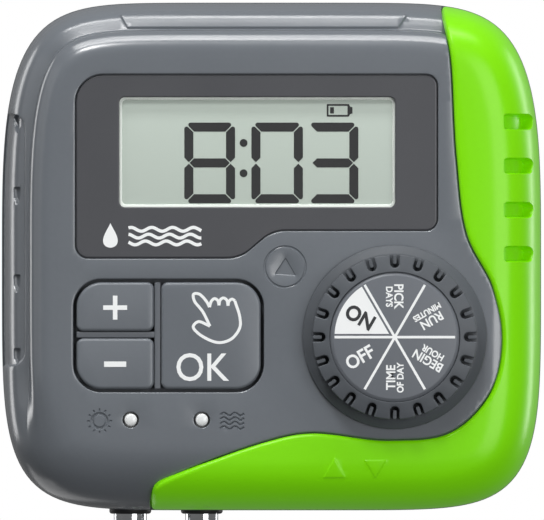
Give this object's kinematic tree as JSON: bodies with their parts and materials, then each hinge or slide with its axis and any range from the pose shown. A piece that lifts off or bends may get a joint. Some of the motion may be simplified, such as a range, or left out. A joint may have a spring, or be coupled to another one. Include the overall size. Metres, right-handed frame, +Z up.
{
  "type": "irrigation controller",
  "caption": "Wall-hung battery pump timer for drip watering, with a display, keys, a turning selector dial, indicator lamps and hose nozzles underneath.",
  "frame": {"origin": "point on the flat back face midway between the two hanging keyholes", "axes": "+X to the right as seen from the front, +Y out of the back towards the wall, +Z up"},
  "size_m": [0.12, 0.0544, 0.1245],
  "materials": {
    "housing": "fine moulded texture, satin",
    "rear": "fine moulded texture, matte",
    "trim": "bright green, semi-gloss",
    "panel": "dark grey, smooth",
    "window": "clear hard-coated",
    "lcd": "pale green-grey reflective display",
    "key": "satin rubberised",
    "dial": "dark grey satin",
    "dial_label": "printed disc",
    "lens": "milky white",
    "silicone": "translucent white",
    "seal": "black, matte",
    "board": "green solder mask",
    "chip": "black epoxy",
    "switch": "black nylon",
    "plastic": "natural white",
    "steel": "plated",
    "brass": "machined",
    "cell": "plain printed sleeve",
    "collar": "black",
    "nozzle": "bright plated"
  },
  "bodies": {
    "case": {"front_housing": "housing", "green_trim": "trim", "display_panel": "panel", "display_window": "window", "lcd_module": "lcd", "lcd_holder": "plastic", "lcd_connector": "seal", "keypad_mat": "key", "selector_body": "switch", "dial_seal": "seal", "main_board": "board", "controller_chip": "chip", "rear_housing": "rear", "housing_gasket": "seal", "battery_contact_lower": "steel", "battery_contact_upper": "steel", "pump_head": "plastic", "valve_plate": "chip", "pump_diaphragm": "silicone", "pump_case": "plastic", "wobble_plate": "plastic", "pump_motor": "steel", "pump_ring": "seal", "switch_body_plus": "switch", "switch_body_minus": "switch", "switch_body_ok": "switch", "lamp_lens_power": "lens", "lamp_led_power": "lens", "lamp_lens_water": "lens", "lamp_led_water": "lens", "housing_screw_1": "steel", "battery_cell_1": "cell", "battery_spring_1": "steel", "housing_screw_2": "steel", "battery_cell_2": "cell", "battery_spring_2": "steel", "housing_screw_3": "steel", "battery_cell_3": "cell", "battery_spring_3": "steel", "housing_screw_4": "steel", "battery_cell_4": "cell", "battery_spring_4": "steel", "inlet_hose": "silicone", "inlet_collar": "collar", "inlet_nozzle": "nozzle", "outlet_hose": "silicone", "outlet_collar": "collar", "outlet_nozzle": "nozzle"},
    "dial": {"dial_knob": "dial", "dial_label": "dial_label", "selector_shaft": "steel"},
    "plus_key": {"key_plus": "key", "switch_plunger_plus": "chip"},
    "minus_key": {"key_minus": "key", "switch_plunger_minus": "chip"},
    "ok_key": {"key_ok": "key", "switch_plunger_ok": "chip"},
    "pump_rotor": {"motor_shaft": "steel", "pump_crank": "brass"},
    "door": {"battery_door": "rear"}
  },
  "joints": [
    {"name": "dial_turn", "type": "hinge", "parent": "case", "child": "dial", "pos_m": [0.0272, -0.05, -0.0538], "axis": [0, -1, 0], "continuous": true},
    {"name": "plus_key_press", "type": "slide", "parent": "case", "child": "plus_key", "axis": [0, 1, 0], "range_m": [0, 0.0008], "stiffness_N_per_m": 1500},
    {"name": "minus_key_press", "type": "slide", "parent": "case", "child": "minus_key", "axis": [0, 1, 0], "range_m": [0, 0.0008], "stiffness_N_per_m": 1500},
    {"name": "ok_key_press", "type": "slide", "parent": "case", "child": "ok_key", "axis": [0, 1, 0], "range_m": [0, 0.0008], "stiffness_N_per_m": 1500},
    {"name": "pump_spin", "type": "hinge", "parent": "case", "child": "pump_rotor", "pos_m": [-0.02345, -0.0155, -0.051], "axis": [0, 0, 1], "continuous": true},
    {"name": "door_open", "type": "hinge", "parent": "case", "child": "door", "pos_m": [0.0208, 0, -0.0769], "axis": [-1, 0, 0], "range_deg": [0, 75]}
  ]
}
